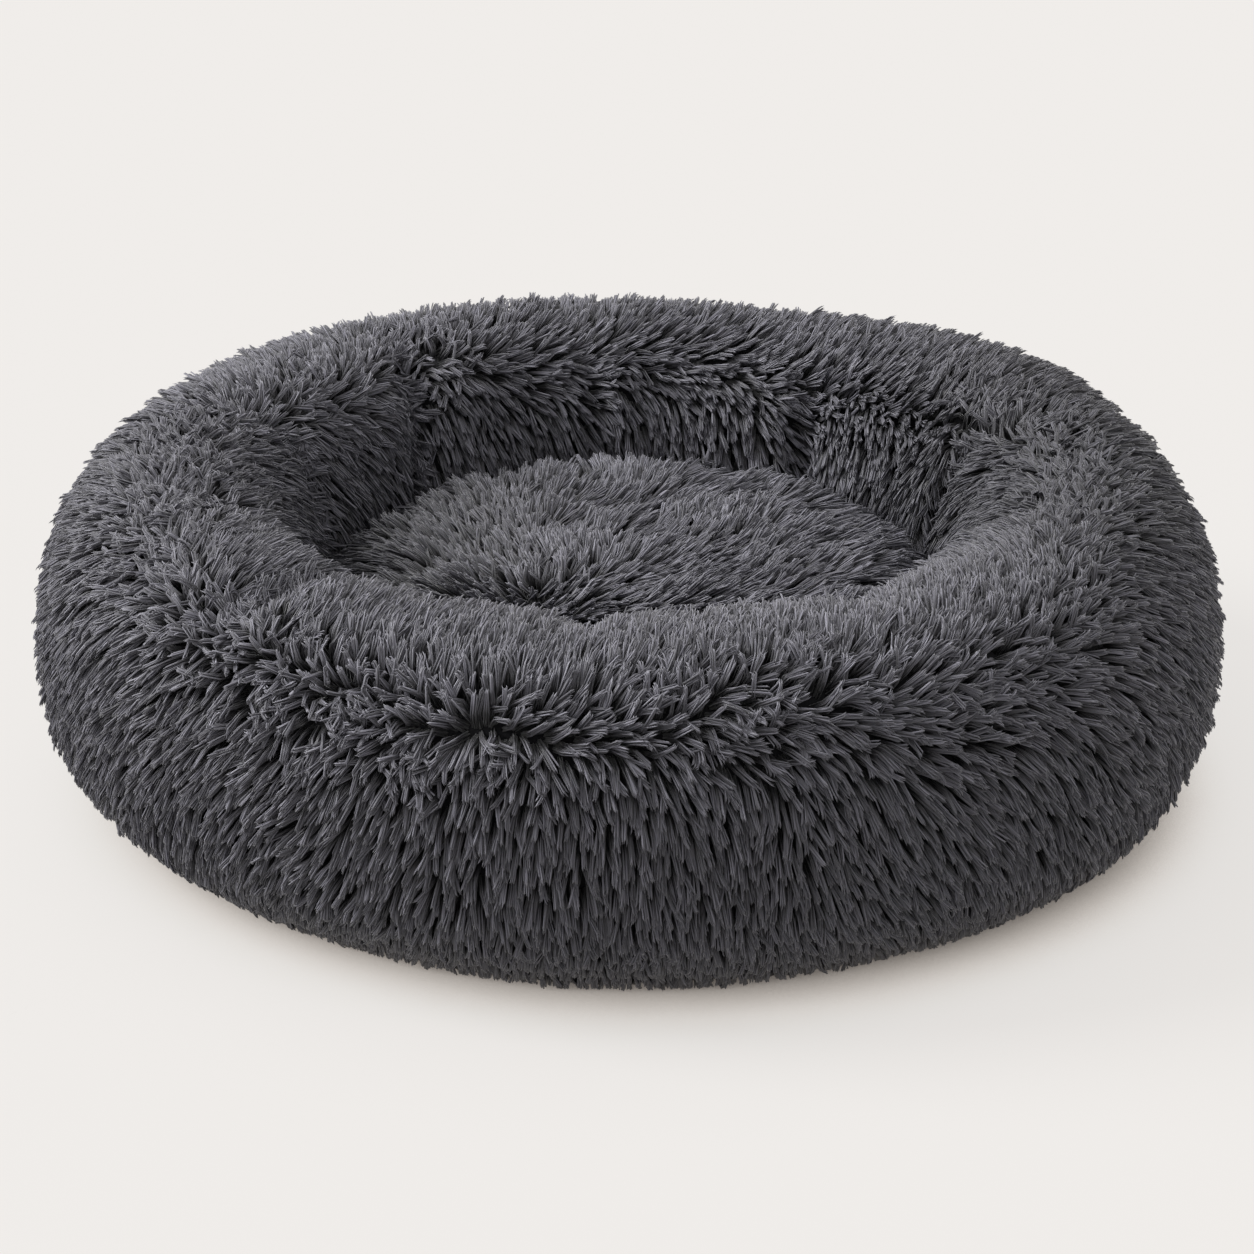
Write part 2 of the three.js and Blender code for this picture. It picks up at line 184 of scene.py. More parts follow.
def smooth(value, low, high):
    """0 up to low, 1 from high on, and a soft step between them."""
    share = np.clip((value - low) / (high - low), 0, 1)
    return share * share * (3 - 2 * share)


def angle_between(a, b):
    """From a to b the short way round, in degrees."""
    return (b - a + 180) % 360 - 180


def off_zip(turn):
    """How many degrees round the bed it is to the zip's middle."""
    return np.abs(angle_between(zip_middle_angle, np.degrees(turn)))


def place_at(turn, radius, level):
    return np.stack([radius * np.cos(turn), radius * np.sin(turn), level + 0 * turn], -1)


def round_the_bed(turn, table):
    """A value at radians round the bed, from a table of (degrees, value) pairs."""
    degrees, values = zip(*table)
    return np.interp(np.degrees(turn), degrees, values, period=360)


class Waves:
    """Smooth seeded noise of two values in radians, about -1 to 1. It repeats after a turn of the first."""

    def __init__(self, seed, most_first, most_second, count=24):
        rng = np.random.default_rng(seed)
        self.first = rng.integers(-most_first, most_first + 1, count)
        self.second = rng.uniform(-most_second, most_second, count)
        self.phase = rng.uniform(0, 2 * math.pi, count)

    def __call__(self, first, second):
        total = np.zeros(np.broadcast(first, second).shape)
        for a, b, phase in zip(self.first, self.second, self.phase):
            total += np.sin(a * first + b * second + phase)
        return total / math.sqrt(len(self.phase))


# Creases down the well's wall: degrees round the bed where each begins and ends, degrees round the section
# where it begins, and its share of the full depth.
creases = [
    (15, 17, 118, 0.9),
    (57, 55, 125, 0.8),
    (97, 96, 118, 0.5),
    (127, 134.5, 100, 1),
    (161.5, 167, 104, 1),
    (193, 209, 88, 0.8),
    (226.5, 229, 58, 0.8),
    (264, 266, 100, 0.6),
    (301, 300, 95, 0.6),
    (338, 336, 105, 0.7),
]
crease_depth = 0.015
crease_half_width = 0.0105
crease_end_angle = 170  # degrees round the section
wall_share = 0.85  # of the crown's radius, about where the well's wall is

# How much further the stuffing swells the ring than its plain section, in metres, by degrees round the bed.
swells = [
    (0, 0.003),
    (30, 0.008),
    (70, 0.002),
    (100, 0.003),
    (120, 0.006),
    (138, 0.008),
    (160, 0.005),
    (180, 0.003),
    (215, 0.002),
    (280, 0.001),
    (325, 0.003),
]

# How far the ring's foot is drawn in from its plain section, in metres, by degrees round the section, and
# how much of it by degrees round the bed.
foot_draws = [(-100, 0), (-80, 0.003), (-65, 0.0035), (-50, 0.0065), (-35, 0.004), (-20, 0)]
foot_shares = [
    (0, 0.8),
    (180, 0.9),
    (212, 0.5),
    (228, 0.5),
    (240, 0.8),
    (270, 1),
    (293, 0.5),
    (305, 0.1),
    (325, 0),
    (345, 0.6),
]
foot_in_share = 0.46
foot_up_share = 0.89


def crease(turn, angle):
    """How deep the cover is drawn in, at radians round the bed and degrees round the section."""
    degrees = np.degrees(turn)
    deepest = np.zeros(np.broadcast(turn, angle).shape)
    for first, last, begins, share in creases:
        middle = first + (last - first) * np.clip((angle - begins) / (crease_end_angle - begins), 0, 1)
        off = np.radians(angle_between(middle, degrees)) * crown_radius * wall_share / crease_half_width
        fade = smooth(angle, begins - 18, begins + 22) * (1 - smooth(angle, 190, 250))
        deepest = np.maximum(deepest, share * np.exp(-off * off) * fade)
    return crease_depth * deepest


plumpness, plump_height = Waves(3, 7, 1.5), 0.0012
folds, fold_height = Waves(14, 20, 2), 0.0022
ring_roots = Section(ring_point, -86, 256, root_depth)
cushion_roots = Section(cushion_point, -30, 90, root_depth)
cushion_reach = cushion_roots.lengths[-1]


def held_by_zip(turn, angle):
    """1 low at the back, where the zip holds the cover to its plain section, and 0 well away from there."""
    along = 1 - smooth(off_zip(turn), slot_half_angle + 2, slot_half_angle + 14)
    return along * (1 - smooth(angle, -22, 8))


def beside_slot(turn, angle):
    """1 at the zip's slot, where the cover's cloth goes down to the tapes, and 0 a little away from it."""
    along = 1 - smooth(off_zip(turn), slot_half_angle + 0.5, slot_half_angle + 5)
    return along * (1 - smooth(np.abs(angle_between(slot_angle, angle)), 8, 19))


def swell(turn, angle):
    """How far the ring stands over its plain section."""
    free = smooth(angle, -75, -35) * (1 - smooth(angle, 120, 160))
    wall = smooth(angle, 95, 130) * (1 - smooth(angle, 190, 230))
    section = np.radians(angle)
    small = plump_height * plumpness(turn, section) + fold_height * wall * folds(turn, section)
    over = (round_the_bed(turn, swells) * free + small) * (1 - held_by_zip(turn, angle))
    return over - zip_dip * beside_slot(turn, angle)


def tuck(radius, level, turn, angle):
    """Draws the ring's foot in and up a little, where it rounds under to the floor."""
    angles, draws = zip(*foot_draws)
    draw = np.interp(angle_between(0, angle), angles, draws) * round_the_bed(turn, foot_shares)
    draw = draw * (1 - held_by_zip(turn, angle))
    return radius - foot_in_share * draw, level + foot_up_share * draw


def on_ring(turn, length, height):
    angle = ring_roots.angle(length)
    room = 0.4 + 0.6 * smooth(angle, -62, -15)
    radius, level = ring_roots.at(length, height * room + swell(turn, angle) - crease(turn, angle))
    return place_at(turn, *tuck(radius, level, turn, angle))


def on_cushion(x, y, height):
    """A point over the cushion's cover, whose cloth is laid flat round the middle of its top."""
    along = np.hypot(x, y)
    plump = 0.001 + 0.0035 * smooth(along, 0.08, 0.135) * (1 - smooth(along, 0.16, 0.2))
    return place_at(np.arctan2(y, x), *cushion_roots.at(cushion_reach - along, height + plump))


def new_object(name, data):
    made = bpy.data.objects.new(name, data)
    bpy.context.scene.collection.objects.link(made)
    return made


def mesh_object(name, points, faces):
    mesh = bpy.data.meshes.new(name)
    mesh.from_pydata([tuple(p) for p in points], [], [tuple(int(i) for i in f) for f in faces])
    mesh.polygons.foreach_set("use_smooth", [True] * len(mesh.polygons))
    mesh.update()
    return new_object(name, mesh)


def lay_weave(made, spots):
    """The map that a woven finish follows: metres along and across the cloth for each point."""
    layer = made.data.uv_layers.new(name="weave")
    corners = np.empty(len(made.data.loops), np.int32)
    made.data.loops.foreach_get("vertex_index", corners)
    layer.data.foreach_set("uv", np.asarray(spots, np.float32)[corners].ravel())


def dress(made, body, slot, finish, *replaced):
    """Gives a piece its body and material, and hides the frame's nodes that it stands for. Its slot is not
    used.
    """
    made.data.materials.append(finish)
    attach(made, body)
    if replaced:
        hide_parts(*replaced)


def take_off_edges(made, width):
    """Rounds the edges that turn more than a soft bend."""
    edge = made.modifiers.new("edge", "BEVEL")
    edge.width = width
    edge.segments = 2
    edge.limit_method = "ANGLE"
    edge.angle_limit = math.radians(40)


def add_node(made, kind, inputs=None, **settings):
    """A node of the material or world, with a value or another node's output on each input."""
    node = made.node_tree.nodes.new("ShaderNode" + kind)
    for name, value in settings.items():
        setattr(node, name, value)
    for name, value in (inputs or {}).items():
        if isinstance(value, bpy.types.NodeSocket):
            made.node_tree.links.new(value, node.inputs[name])
        else:
            node.inputs[name].default_value = value
    return node


def ramped(made, value, stops):
    """A colour that follows a value through (place, colour) stops."""
    node = add_node(made, "ValToRGB", {"Fac": value})
    elements = node.color_ramp.elements
    elements.remove(elements[1])
    elements[0].position, elements[0].color = stops[0]
    for place, colour in stops[1:]:
        elements.new(place).color = colour
    return node.outputs["Color"]


def new_material(name, **sockets):
    """A material and its main shader, with plain values on the shader's own sockets."""
    made = bpy.data.materials.new(name)
    made.use_nodes = True
    shader = made.node_tree.nodes["Principled BSDF"]
    for socket, value in sockets.items():
        shader.inputs[socket.replace("_", " ")].default_value = value
    return made, shader


def linear(red, green, blue):
    """A colour given as it is seen on a screen, 0 to 255."""
    seen = np.array([red, green, blue]) / 255
    light = np.where(seen > 0.04045, ((seen + 0.055) / 1.055) ** 2.4, seen / 12.92)
    return (*light, 1)


def shaded(colour, share):
    return (*(share * c for c in colour[:3]), 1)


def link(made, start, end):
    made.node_tree.links.new(start, end)


def blended(made, share, low, high):
    """The colour low where share is 0 and high where it is 1."""
    node = add_node(made, "Mix", {"Factor": share}, data_type="RGBA")
    node.inputs[6].default_value = low
    node.inputs[7].default_value = high
    return node.outputs[2]


def object_noise(made, scale, detail):
    place = add_node(made, "TexCoord").outputs["Object"]
    return add_node(made, "TexNoise", {"Vector": place, "Scale": scale, "Detail": detail}).outputs["Fac"]


def bumped(made, height, strength, distance):
    inputs = {"Height": height, "Strength": strength, "Distance": distance}
    return add_node(made, "Bump", inputs).outputs["Normal"]


def pile_material(name, root, shaft):
    """Fibres that are palest at the tip, each lock and fibre in a tone of its own, the tone also carrying
    painted shade and painted highlights.
    """
    made, shader = new_material(
        name, Roughness=0.45, Specular_IOR_Level=0.5, Sheen_Weight=0.25, Sheen_Roughness=0.4
    )
    # The dark root and pale tip are partly the pile's own tipped colour, partly painted shade down among the
    # roots and a painted highlight at the tips.
    stops = [
        (0.05, root),
        (0.4, shaft),
        (0.72, linear(110, 109, 118)),
        (0.92, linear(122, 121, 130)),
        (1, linear(166, 165, 174)),
    ]
    along = add_node(made, "Attribute", attribute_name="along").outputs["Fac"]
    tone = add_node(made, "Attribute", attribute_name="tone").outputs["Fac"]
    shade = {"Vector": ramped(made, along, stops), "Scale": tone}
    toned = add_node(made, "VectorMath", shade, operation="SCALE")
    link(made, toned.outputs["Vector"], shader.inputs["Base Color"])
    return made


def mottled_material(name, colour, scale, bump):
    """Backing cloth and fillings: a mottled, softly lumpy surface."""
    made, shader = new_material(name, Roughness=0.95, Specular_IOR_Level=0.2, Sheen_Weight=0.2)
    noise = object_noise(made, scale, 6)
    link(made, blended(made, noise, shaded(colour, 0.6), colour), shader.inputs["Base Color"])
    link(made, bumped(made, noise, 0.6, bump), shader.inputs["Normal"])
    return made


def woven_material(name, colour, pitch, bump, roughness=0.85):
    """Plain weave: threads that cross, each in turn over the other."""
    made, shader = new_material(name, Roughness=roughness, Specular_IOR_Level=0.3, Sheen_Weight=0.15)
    place = add_node(made, "UVMap", uv_map="weave").outputs["UV"]
    threads = {"Vector": place, "Scale": math.pi / (20 * pitch), "Distortion": 0.4}
    warp = add_node(made, "TexWave", threads, bands_direction="X").outputs["Fac"]
    weft = add_node(made, "TexWave", threads, bands_direction="Y").outputs["Fac"]
    crossed = add_node(made, "Math", {0: warp, 1: weft}, operation="MULTIPLY").outputs[0]
    link(made, blended(made, crossed, shaded(colour, 0.55), colour), shader.inputs["Base Color"])
    link(made, bumped(made, crossed, 0.7, bump), shader.inputs["Normal"])
    return made


def hard_material(name, colour, roughness, metallic):
    """Rubber, moulded plastic or painted metal, a little uneven in gloss and tone."""
    made, shader = new_material(name, Metallic=metallic, Specular_IOR_Level=0.5)
    noise = object_noise(made, 900, 4)
    gloss = add_node(
        made, "MapRange", {"Value": noise, "To Min": roughness - 0.08, "To Max": roughness + 0.12}
    )
    link(made, gloss.outputs["Result"], shader.inputs["Roughness"])
    link(made, blended(made, noise, colour, shaded(colour, 1.5)), shader.inputs["Base Color"])
    return made


ring_pile = pile_material("ring_pile", linear(24, 24, 27), linear(66, 65, 70))
cushion_pile = pile_material("cushion_pile", linear(28, 28, 31), linear(70, 69, 74))
# The backing's dark colour is partly its own and partly painted shade, so that bare backing where the pile
# parts reads as a deep gap.
backing = mottled_material("pile_backing", linear(34, 34, 37), 700, 0.0006)
plain_cloth = woven_material("plain_cloth", linear(60, 60, 64), 0.0007, 0.0002)
liner_cloth = woven_material("liner_cloth", linear(225, 222, 216), 0.0006, 0.0002)
fibre_fill = mottled_material("fibre_fill", linear(240, 238, 232), 90, 0.003)
base_cloth = woven_material("base_cloth", linear(46, 46, 49), 0.0009, 0.0002, 0.7)
grip_rubber = hard_material("grip_rubber", linear(38, 38, 41), 0.6, 0)
sewing_thread = mottled_material("sewing_thread", linear(64, 64, 68), 3000, 0.0001)
zip_tape = woven_material("zip_tape", linear(76, 76, 81), 0.0006, 0.00015)
zip_plastic = hard_material("zip_plastic", linear(66, 66, 70), 0.42, 0)
zip_paint = hard_material("zip_paint", linear(104, 104, 109), 0.34, 0.4)


def strands(rng, locks, place):
    """The corners of every fibre and its tone.

    locks holds an array for each value of a lock: where its root is (first, second) and how many metres a
    unit of first is, its heading, length, the angles at which it rises from the cloth and ends, its curl,
    half width and tone, the share of its width that its tip keeps, and how loose its fibres are, 0 to 1.
    """
    lock_count = len(locks["first"])
    own = np.repeat(np.arange(lock_count), fibres_per_lock)
    number = np.tile(np.arange(fibres_per_lock), lock_count)
    pick = {name: values[own] for name, values in locks.items()}
    count = len(own)
    golden_angle = math.pi * (3 - math.sqrt(5))
    around = number * golden_angle + rng.uniform(0, 2 * math.pi, lock_count)[own]
    out = np.sqrt((number + 0.5) / fibres_per_lock)
    across = (out * np.cos(around) * pick["half_width"])[:, None]
    behind = (out * np.sin(around) * pick["half_width"] * lock_depth_share)[:, None]
    length = pick["length"] * (1 - 0.11 * out**2 - 0.06 * rng.uniform(0, 1, count))
    stray = 0.03 + 0.05 * pick["loose"]
    heading = (pick["heading"] + rng.normal(0, 1, count) * stray)[:, None]
    rise = (pick["rise"] + rng.normal(0, 1, count) * stray)[:, None]
    settle = (pick["settle"] + rng.normal(0, 1, count) * stray)[:, None]
    curl = (pick["curl"] + rng.normal(0, 1, count) * 2 * stray)[:, None]

    middles = (fibre_shares[1:] + fibre_shares[:-1]) / 2
    steps = length[:, None] * np.diff(fibre_shares)
    step_heading = heading + curl * middles**1.5
    step_rise = rise + (settle - rise) * middles
    start = np.zeros((count, 1))
    first = np.hstack([start, np.cumsum(steps * np.cos(step_rise) * np.cos(step_heading), 1)])
    second = np.hstack([start, np.cumsum(steps * np.cos(step_rise) * np.sin(step_heading), 1)])
    height = np.hstack([start, np.cumsum(steps * np.sin(step_rise), 1)])

    facing = heading + curl * fibre_shares**1.5
    tilt = rise + (settle - rise) * fibre_shares
    drawn = 1 - (1 - pick["tip_share"][:, None]) * smooth(fibre_shares, 0.25, 1)
    first += drawn * (-across * np.sin(facing) - behind * np.sin(tilt) * np.cos(facing))
    second += drawn * (across * np.cos(facing) - behind * np.sin(tilt) * np.sin(facing))
    height += drawn * behind * np.cos(tilt)
    frizz = 0.00012 * fibre_shares
    first += rng.normal(0, 1, first.shape) * frizz
    second += rng.normal(0, 1, first.shape) * frizz
    height += rng.normal(0, 1, first.shape) * frizz

    first = pick["first"][:, None] + first / pick["unit"][:, None]
    second = pick["second"][:, None] + second
    line = place(first, second, height)
    over = place(first, second, height + 0.001) - line
    lowest = floor_clearance * (1 + 1.5 * rng.uniform(0, 1, (count, 1)))
    line[..., 2] = np.maximum(line[..., 2], lowest)

    along = np.gradient(line, axis=1)
    along /= np.linalg.norm(along, axis=2, keepdims=True)
    side = np.cross(along, over)
    side /= np.linalg.norm(side, axis=2, keepdims=True) + 1e-9
    face = np.cross(side, along)
    girth = fibre_thickness / 2 * fibre_girth_shares * rng.uniform(0.85, 1.15, (count, 1))
    phase = rng.uniform(0, 2 * math.pi, (count, 1))
    corners = []
    for corner in range(3):
        angle = (phase + corner * 2 * math.pi / 3)[..., None]
        corners.append(
            line[:, :-1] + girth[..., None] * (np.cos(angle) * side[:, :-1] + np.sin(angle) * face[:, :-1])
        )
    rings = np.stack(corners, 2).reshape(count, -1, 3)
    points = np.concatenate([rings, line[:, -1:]], 1)
    tone = pick["tone"] * rng.uniform(0.8, 1.2, count)
    return points, tone


# How a fibre's corners join: rings of three and the tip.
fibre_rings = len(fibre_girth_shares)
fibre_quads = [
    (3 * ring + k, 3 * ring + (k + 1) % 3, 3 * ring + 3 + (k + 1) % 3, 3 * ring + 3 + k)
    for ring in range(fibre_rings - 1)
    for k in range(3)
]
last_ring = 3 * (fibre_rings - 1)
fibre_tips = [(last_ring + k, last_ring + (k + 1) % 3, last_ring + 3) for k in range(3)]
fibre_faces = [*fibre_quads, *fibre_tips, (2, 1, 0)]
fibre_corners = np.array([corner for face in fibre_faces for corner in face])
fibre_face_sizes = np.array([len(face) for face in fibre_faces])


def fibre_map():
    """Where each corner of a fibre's faces lies in its own cell of the map, from 0 to 1."""
    spots = []
    for face in fibre_quads:
        k = face[0] % 3
        low, high = fibre_shares[face[0] // 3], fibre_shares[face[2] // 3]
        spots += [(k / 3, low), ((k + 1) / 3, low), ((k + 1) / 3, high), (k / 3, high)]
    low = fibre_shares[fibre_rings - 1]
    for k in range(3):
        spots += [(k / 3, low), ((k + 1) / 3, low), ((k + 0.5) / 3, 1)]
    spots += [(0.9, 0), (0.5, 0), (0.1, 0)]
    return np.array(spots)


def pile_object(name, points, tone):
    """One mesh of fibres, each closed, with its own cell in the map."""
    count, corner_count = points.shape[:2]
    mesh = bpy.data.meshes.new(name)
    mesh.vertices.add(count * corner_count)
    mesh.vertices.foreach_set("co", points.astype(np.float32).ravel())
    loops = (fibre_corners[None] + corner_count * np.arange(count)[:, None]).ravel()
    mesh.loops.add(len(loops))
    mesh.loops.foreach_set("vertex_index", loops.astype(np.int32))
    sizes = np.tile(fibre_face_sizes, count)
    starts = np.concatenate([[0], np.cumsum(sizes)[:-1]])
    mesh.polygons.add(len(sizes))
    mesh.polygons.foreach_set("loop_start", starts.astype(np.int32))
    mesh.polygons.foreach_set("use_smooth", np.ones(len(sizes), bool))
    shares = np.append(np.repeat(fibre_shares[:-1], 3), 1)
    # Painted highlight and shade: each fibre's corners lighter on one side and darker on the others.
    painted_highlights = np.append(np.tile(fibre_painted_highlights, fibre_rings), 1)
    for label, values in (("along", np.tile(shares, count)), ("tone", np.outer(tone, painted_highlights).ravel())):
        attribute = mesh.attributes.new(label, "FLOAT", "POINT")
        attribute.data.foreach_set("value", values.astype(np.float32))
    columns = math.ceil(math.sqrt(count * 1.6))
    rows = math.ceil(count / columns)
    cell = np.array([1 / columns, 1 / rows])
    corner = np.stack([np.arange(count) % columns, np.arange(count) // columns], -1) * cell
    uv = corner[:, None] + (0.08 + 0.84 * fibre_map())[None] * cell
    layer = mesh.uv_layers.new(name="OFBake")
    layer.data.foreach_set("uv", uv.astype(np.float32).ravel())
    mesh.update(calc_edges=True)
    mesh.validate()
    return new_object(name, mesh)


def lay_pile(cover, body, finish, sectors, fibre_turn, points, tone):
    """The pile of one cover, in as many pieces round the bed as there are sectors."""
    own_sector = np.floor(np.degrees(fibre_turn) % 360 / 360 * sectors)
    for sector in range(sectors):
        inside = own_sector == sector
        made = pile_object(f"{cover}_pile_{sector + 1:02d}", points[inside], tone[inside])
        dress(made, body, "plush", finish)


def staggered(rng):
    """Roots of locks in staggered, shaken rows: radians round the bed and lengths up the section."""
    turns, lengths = [], []
    rows = np.arange(ring_roots.length(-62), ring_roots.length(238), lock_pitch_along)
    for row, length in enumerate(rows):
        count = round(2 * math.pi * float(ring_roots.at(length, 0)[0]) / lock_pitch_across)
        places = (np.arange(count) + row % 2 / 2 + rng.uniform(-0.33, 0.33, count)) / count
        turns.append(2 * math.pi * places)
        lengths.append(length + lock_pitch_along * rng.uniform(-0.42, 0.42, count))
    return np.concatenate(turns), np.concatenate(lengths)


def bump_at(turn, angle, middle, width, height):
    """A soft spot on the ring: degrees round the bed and round the section, and its half sizes."""
    a = angle_between(middle[0], np.degrees(turn)) / width
    b = (angle - middle[1]) / height
    return np.exp(-a * a - b * b)


# How the ring's pile lies. It parts along a line that is low on the ring in front and inside it at the back,
# and hangs from there, outward on one side and into the well on the other. Degrees round the bed come first.
parting_angles = [
    (0, 104), (15, 119), (33, 130), (57, 132), (80, 124), (109, 120), (125, 117), (142, 120), (160, 109),
    (182, 101), (206, 76), (222, 62), (237, 53), (258, 45), (276, 52), (300, 47), (318, 57), (335, 93),
    (351, 102),
]
brushed_shares = [  # how far it is brushed along the parting, against rising degrees below zero
    (0, 0),
    (20, 0),
    (35, -0.4),
    (60, -0.9),
    (110, -0.9),
    (125, 0),
    (255, 0),
    (266, 0.5),
    (300, 1),
    (318, 0.9),
    (335, 0.2),
]
outward_leans = [  # degrees from straight out and down
    (0, 32), (30, 18), (60, 2), (90, -8), (120, -18), (150, -24), (180, -26), (210, -24), (240, -12),
    (270, 4), (300, 24), (330, 36),
]
inward_leans = [  # degrees from straight in and down, into the well
    (0, -5), (40, -18), (70, -18), (105, -8), (123, 2), (139, -10), (155, -20), (175, -30), (196, -36),
    (224, -26), (245, -10), (262, 0), (275, 18), (290, 34), (306, 42), (318, 34), (335, 12),
]
parting_widths = [  # degrees round the section over which it turns from one way to the other
    (0, 20), (30, 18), (60, 16), (135, 16), (160, 20), (185, 28), (205, 26), (225, 15), (245, 12),
    (262, 13), (300, 20), (340, 20),
]
standing_shares = [  # how far it stands up where it parts
    (10, 0.8),
    (30, 0.35),
    (150, 0.4),
    (172, 1.2),
    (205, 1.2),
    (225, 0.9),
    (340, 0.9),
]
tousled_spots = [  # degrees round the bed and round the section, and how much
    ((228, 57), 1),
    ((235, 51), 0.8),
    ((243, 50), 1),
    ((249, 38), 0.7),
    ((257, 42), 0.4),
    ((214, 68), 0.5),
    ((204, 80), 0.6),
    ((195, 92), 0.4),
    ((183, 96), 0.6),
    ((170, 104), 0.5),
    ((125, 116), 0.8),
    ((148, 113), 0.4),
    ((50, 132), 0.25),
    ((25, 126), 0.5),
    ((12, 112), 0.6),
    ((1, 98), 0.7),
    ((351, 96), 0.7),
    ((339, 88), 0.6),
    ((272, 52), 0.3),
]


def ring_lie(turn, angle):
    """The ring pile's heading, and how far it stands up, is tousled and is near its parting."""
    section = np.radians(angle)
    sweep = Waves(5, 6, 1.2)(turn, section)
    eddy = Waves(8, 16, 5)(turn, section)
    ripple = Waves(9, 45, 12)(turn, section)
    brushed = round_the_bed(turn, brushed_shares)
    parting = round_the_bed(turn, parting_angles) + 3 * Waves(6, 24, 0)(turn, 0)
    off = (angle - parting + 2 * ripple) / round_the_bed(turn, parting_widths)
    in_share = (1 + np.tanh(off)) / 2
    lean_out = np.radians(round_the_bed(turn, outward_leans) - 90)
    lean_in = np.radians(90 - round_the_bed(turn, inward_leans))
    beside = 0.02
    to_crease = (crease(turn + beside, angle) - crease(turn - beside, angle)) / (2 * beside * crown_radius)
    round_way = (1 - in_share) * np.cos(lean_out) + in_share * np.cos(lean_in)
    round_way += brushed * np.exp(-(off**2)) + 0.6 * to_crease
    up_way = (1 - in_share) * np.sin(lean_out) + in_share * np.sin(lean_in)
    heading = np.arctan2(up_way, round_way) + 0.13 * sweep + 0.13 * eddy + 0.1 * ripple
    parted = np.exp(-((1.2 * off) ** 2)) * (1 - 0.5 * np.abs(brushed))
    standing = parted * round_the_bed(turn, standing_shares)
    tousled = 0.3 * standing * (1 + eddy)
    for middle, strength in tousled_spots:
        spot = bump_at(turn, angle, middle, 7, 13)
        parted = np.maximum(parted, 0.85 * spot)
        tousled = np.maximum(tousled, strength * spot)
    tousled = np.clip(tousled, 0, 1)
    swirl = Waves(10, 55, 16)(turn, section)
    return heading + 1.4 * tousled * swirl, standing, tousled, parted


fine_shares = [(0, 0.7), (40, 0.3), (80, 0), (110, 0), (150, 0.3), (190, 0.7), (220, 1), (330, 1)]
crown_painted_shades = [  # painted shade: how far the pile's colour is darkened over the crown, by degrees round the bed, where less light falls on it
    (0, 0.5),
    (25, 0.63),
    (60, 1),
    (150, 1),
    (180, 0.79),
    (215, 0.92),
    (300, 1),
    (318, 0.76),
    (335, 0.58),
]


def fineness(turn, angle):
    """How far the fibres lie loose and even, not in locks: so they do inside the crown, most in front."""
    inside = angle - round_the_bed(turn, parting_angles)
    return round_the_bed(turn, fine_shares) * smooth(inside, 0, 20) * (1 - smooth(angle, 120, 160))


def ring_locks(rng):
    """Where the ring's locks are rooted: an even cover, and more where the pile parts or is tousled."""
    turn, length = staggered(rng)
    keep = rng.uniform(0, 1, len(turn)) > 0.5 * smooth(ring_roots.angle(length), 196, 215)
    more_turn, more_length = staggered(rng)
    more_angle = ring_roots.angle(more_length)
    parted = ring_lie(more_turn, more_angle)[3]
    wanted = np.maximum(1.1 * parted, 0.6 * fineness(more_turn, more_angle))
    more = rng.uniform(0, 1, len(more_turn)) < wanted
    turn = np.concatenate([turn[keep], more_turn[more]])
    length = np.concatenate([length[keep], more_length[more]])
    beside_zip = off_zip(turn) < slot_half_angle
    above_zip = length - ring_roots.length(slot_angle)
    clear = ~(beside_zip & (np.abs(above_zip) < slot_half_width + 0.001))
    return turn[clear], length[clear], np.where(beside_zip & (above_zip > 0), above_zip, 1)[clear]


def lay_ring_pile():
    rng = np.random.default_rng(11)
    turn, length, above_zip = ring_locks(rng)
    angle = ring_roots.angle(length)
    count = len(turn)
    heading, standing, tousled, _ = ring_lie(turn, angle)
    heading = heading + rng.normal(0, 1, count) * (0.11 + 0.14 * standing + 0.4 * tousled)
    fine = fineness(turn, angle)
    lift = np.maximum(0.65 * standing, tousled)
    # Painted shade: the pile over the crown is coloured darker where less light falls on it, most on the
    # right.
    crown_painted_shade = 1 - (1 - round_the_bed(turn, crown_painted_shades)) * smooth(angle, 35, 70)
    hung = smooth(-angle, 15, 50)
    size = pile_length * rng.uniform(0.86, 1.1, count) * (1 - 0.19 * lift - 0.08 * tousled)
    rise = np.radians(45 - 5 * fine + 32 * lift) + rng.normal(0, 0.1, count)
    settle = np.radians(11 - 4 * fine + 16 * lift - 11 * tousled + 20 * hung) + rng.normal(0, 0.09, count)
    hanging = np.sin(heading) < -0.3
    room_below = length - ring_roots.length(outer_seam_angle)
    size = np.where(hanging, np.minimum(size, np.maximum(room_below, 0.01)), size)
    room_to_zip = np.maximum(above_zip - slot_half_width, 0.001)
    size = np.minimum(size, np.maximum(room_to_zip, 0.006))
    rise = np.where(room_to_zip < 0.012, np.radians(80), rise)
    settle = np.where(room_to_zip < 0.012, np.radians(70), settle)
    locks = {
        "first": turn,
        "second": length,
        "unit": ring_roots.at(length, 0.006)[0],
        "heading": heading,
        "length": size,
        "rise": rise,
        "settle": settle,
        "curl": rng.normal(0, 1, count) * (0.25 + 0.25 * standing + 1.8 * tousled),
        "half_width": lock_half_width
        * (1 + 0.1 * fine + 0.2 * standing - 0.15 * smooth(-angle, -20, 25))
        * rng.uniform(0.75, 1.25, count),
        "tip_share": np.minimum(0.58 + 0.45 * fine, 1) - 0.14 * lift,
        "loose": fine,
        "tone": (1 + (1 - 0.5 * fine) * rng.uniform(-0.16, 0.16, count)) * crown_painted_shade,
    }
    points, tone = strands(rng, locks, on_ring)
    fibre_turn = np.repeat(turn, fibres_per_lock)
    outer = np.repeat(angle < shoulder_seam_angle, fibres_per_lock)
    for cover, part, sectors in (("outer_cover", outer, 10), ("well_cover", ~outer, 15)):
        lay_pile(cover, "root", ring_pile, sectors, fibre_turn[part], points[part], tone[part])


whorl = (-0.046, -0.053)  # where the cushion's pile parts


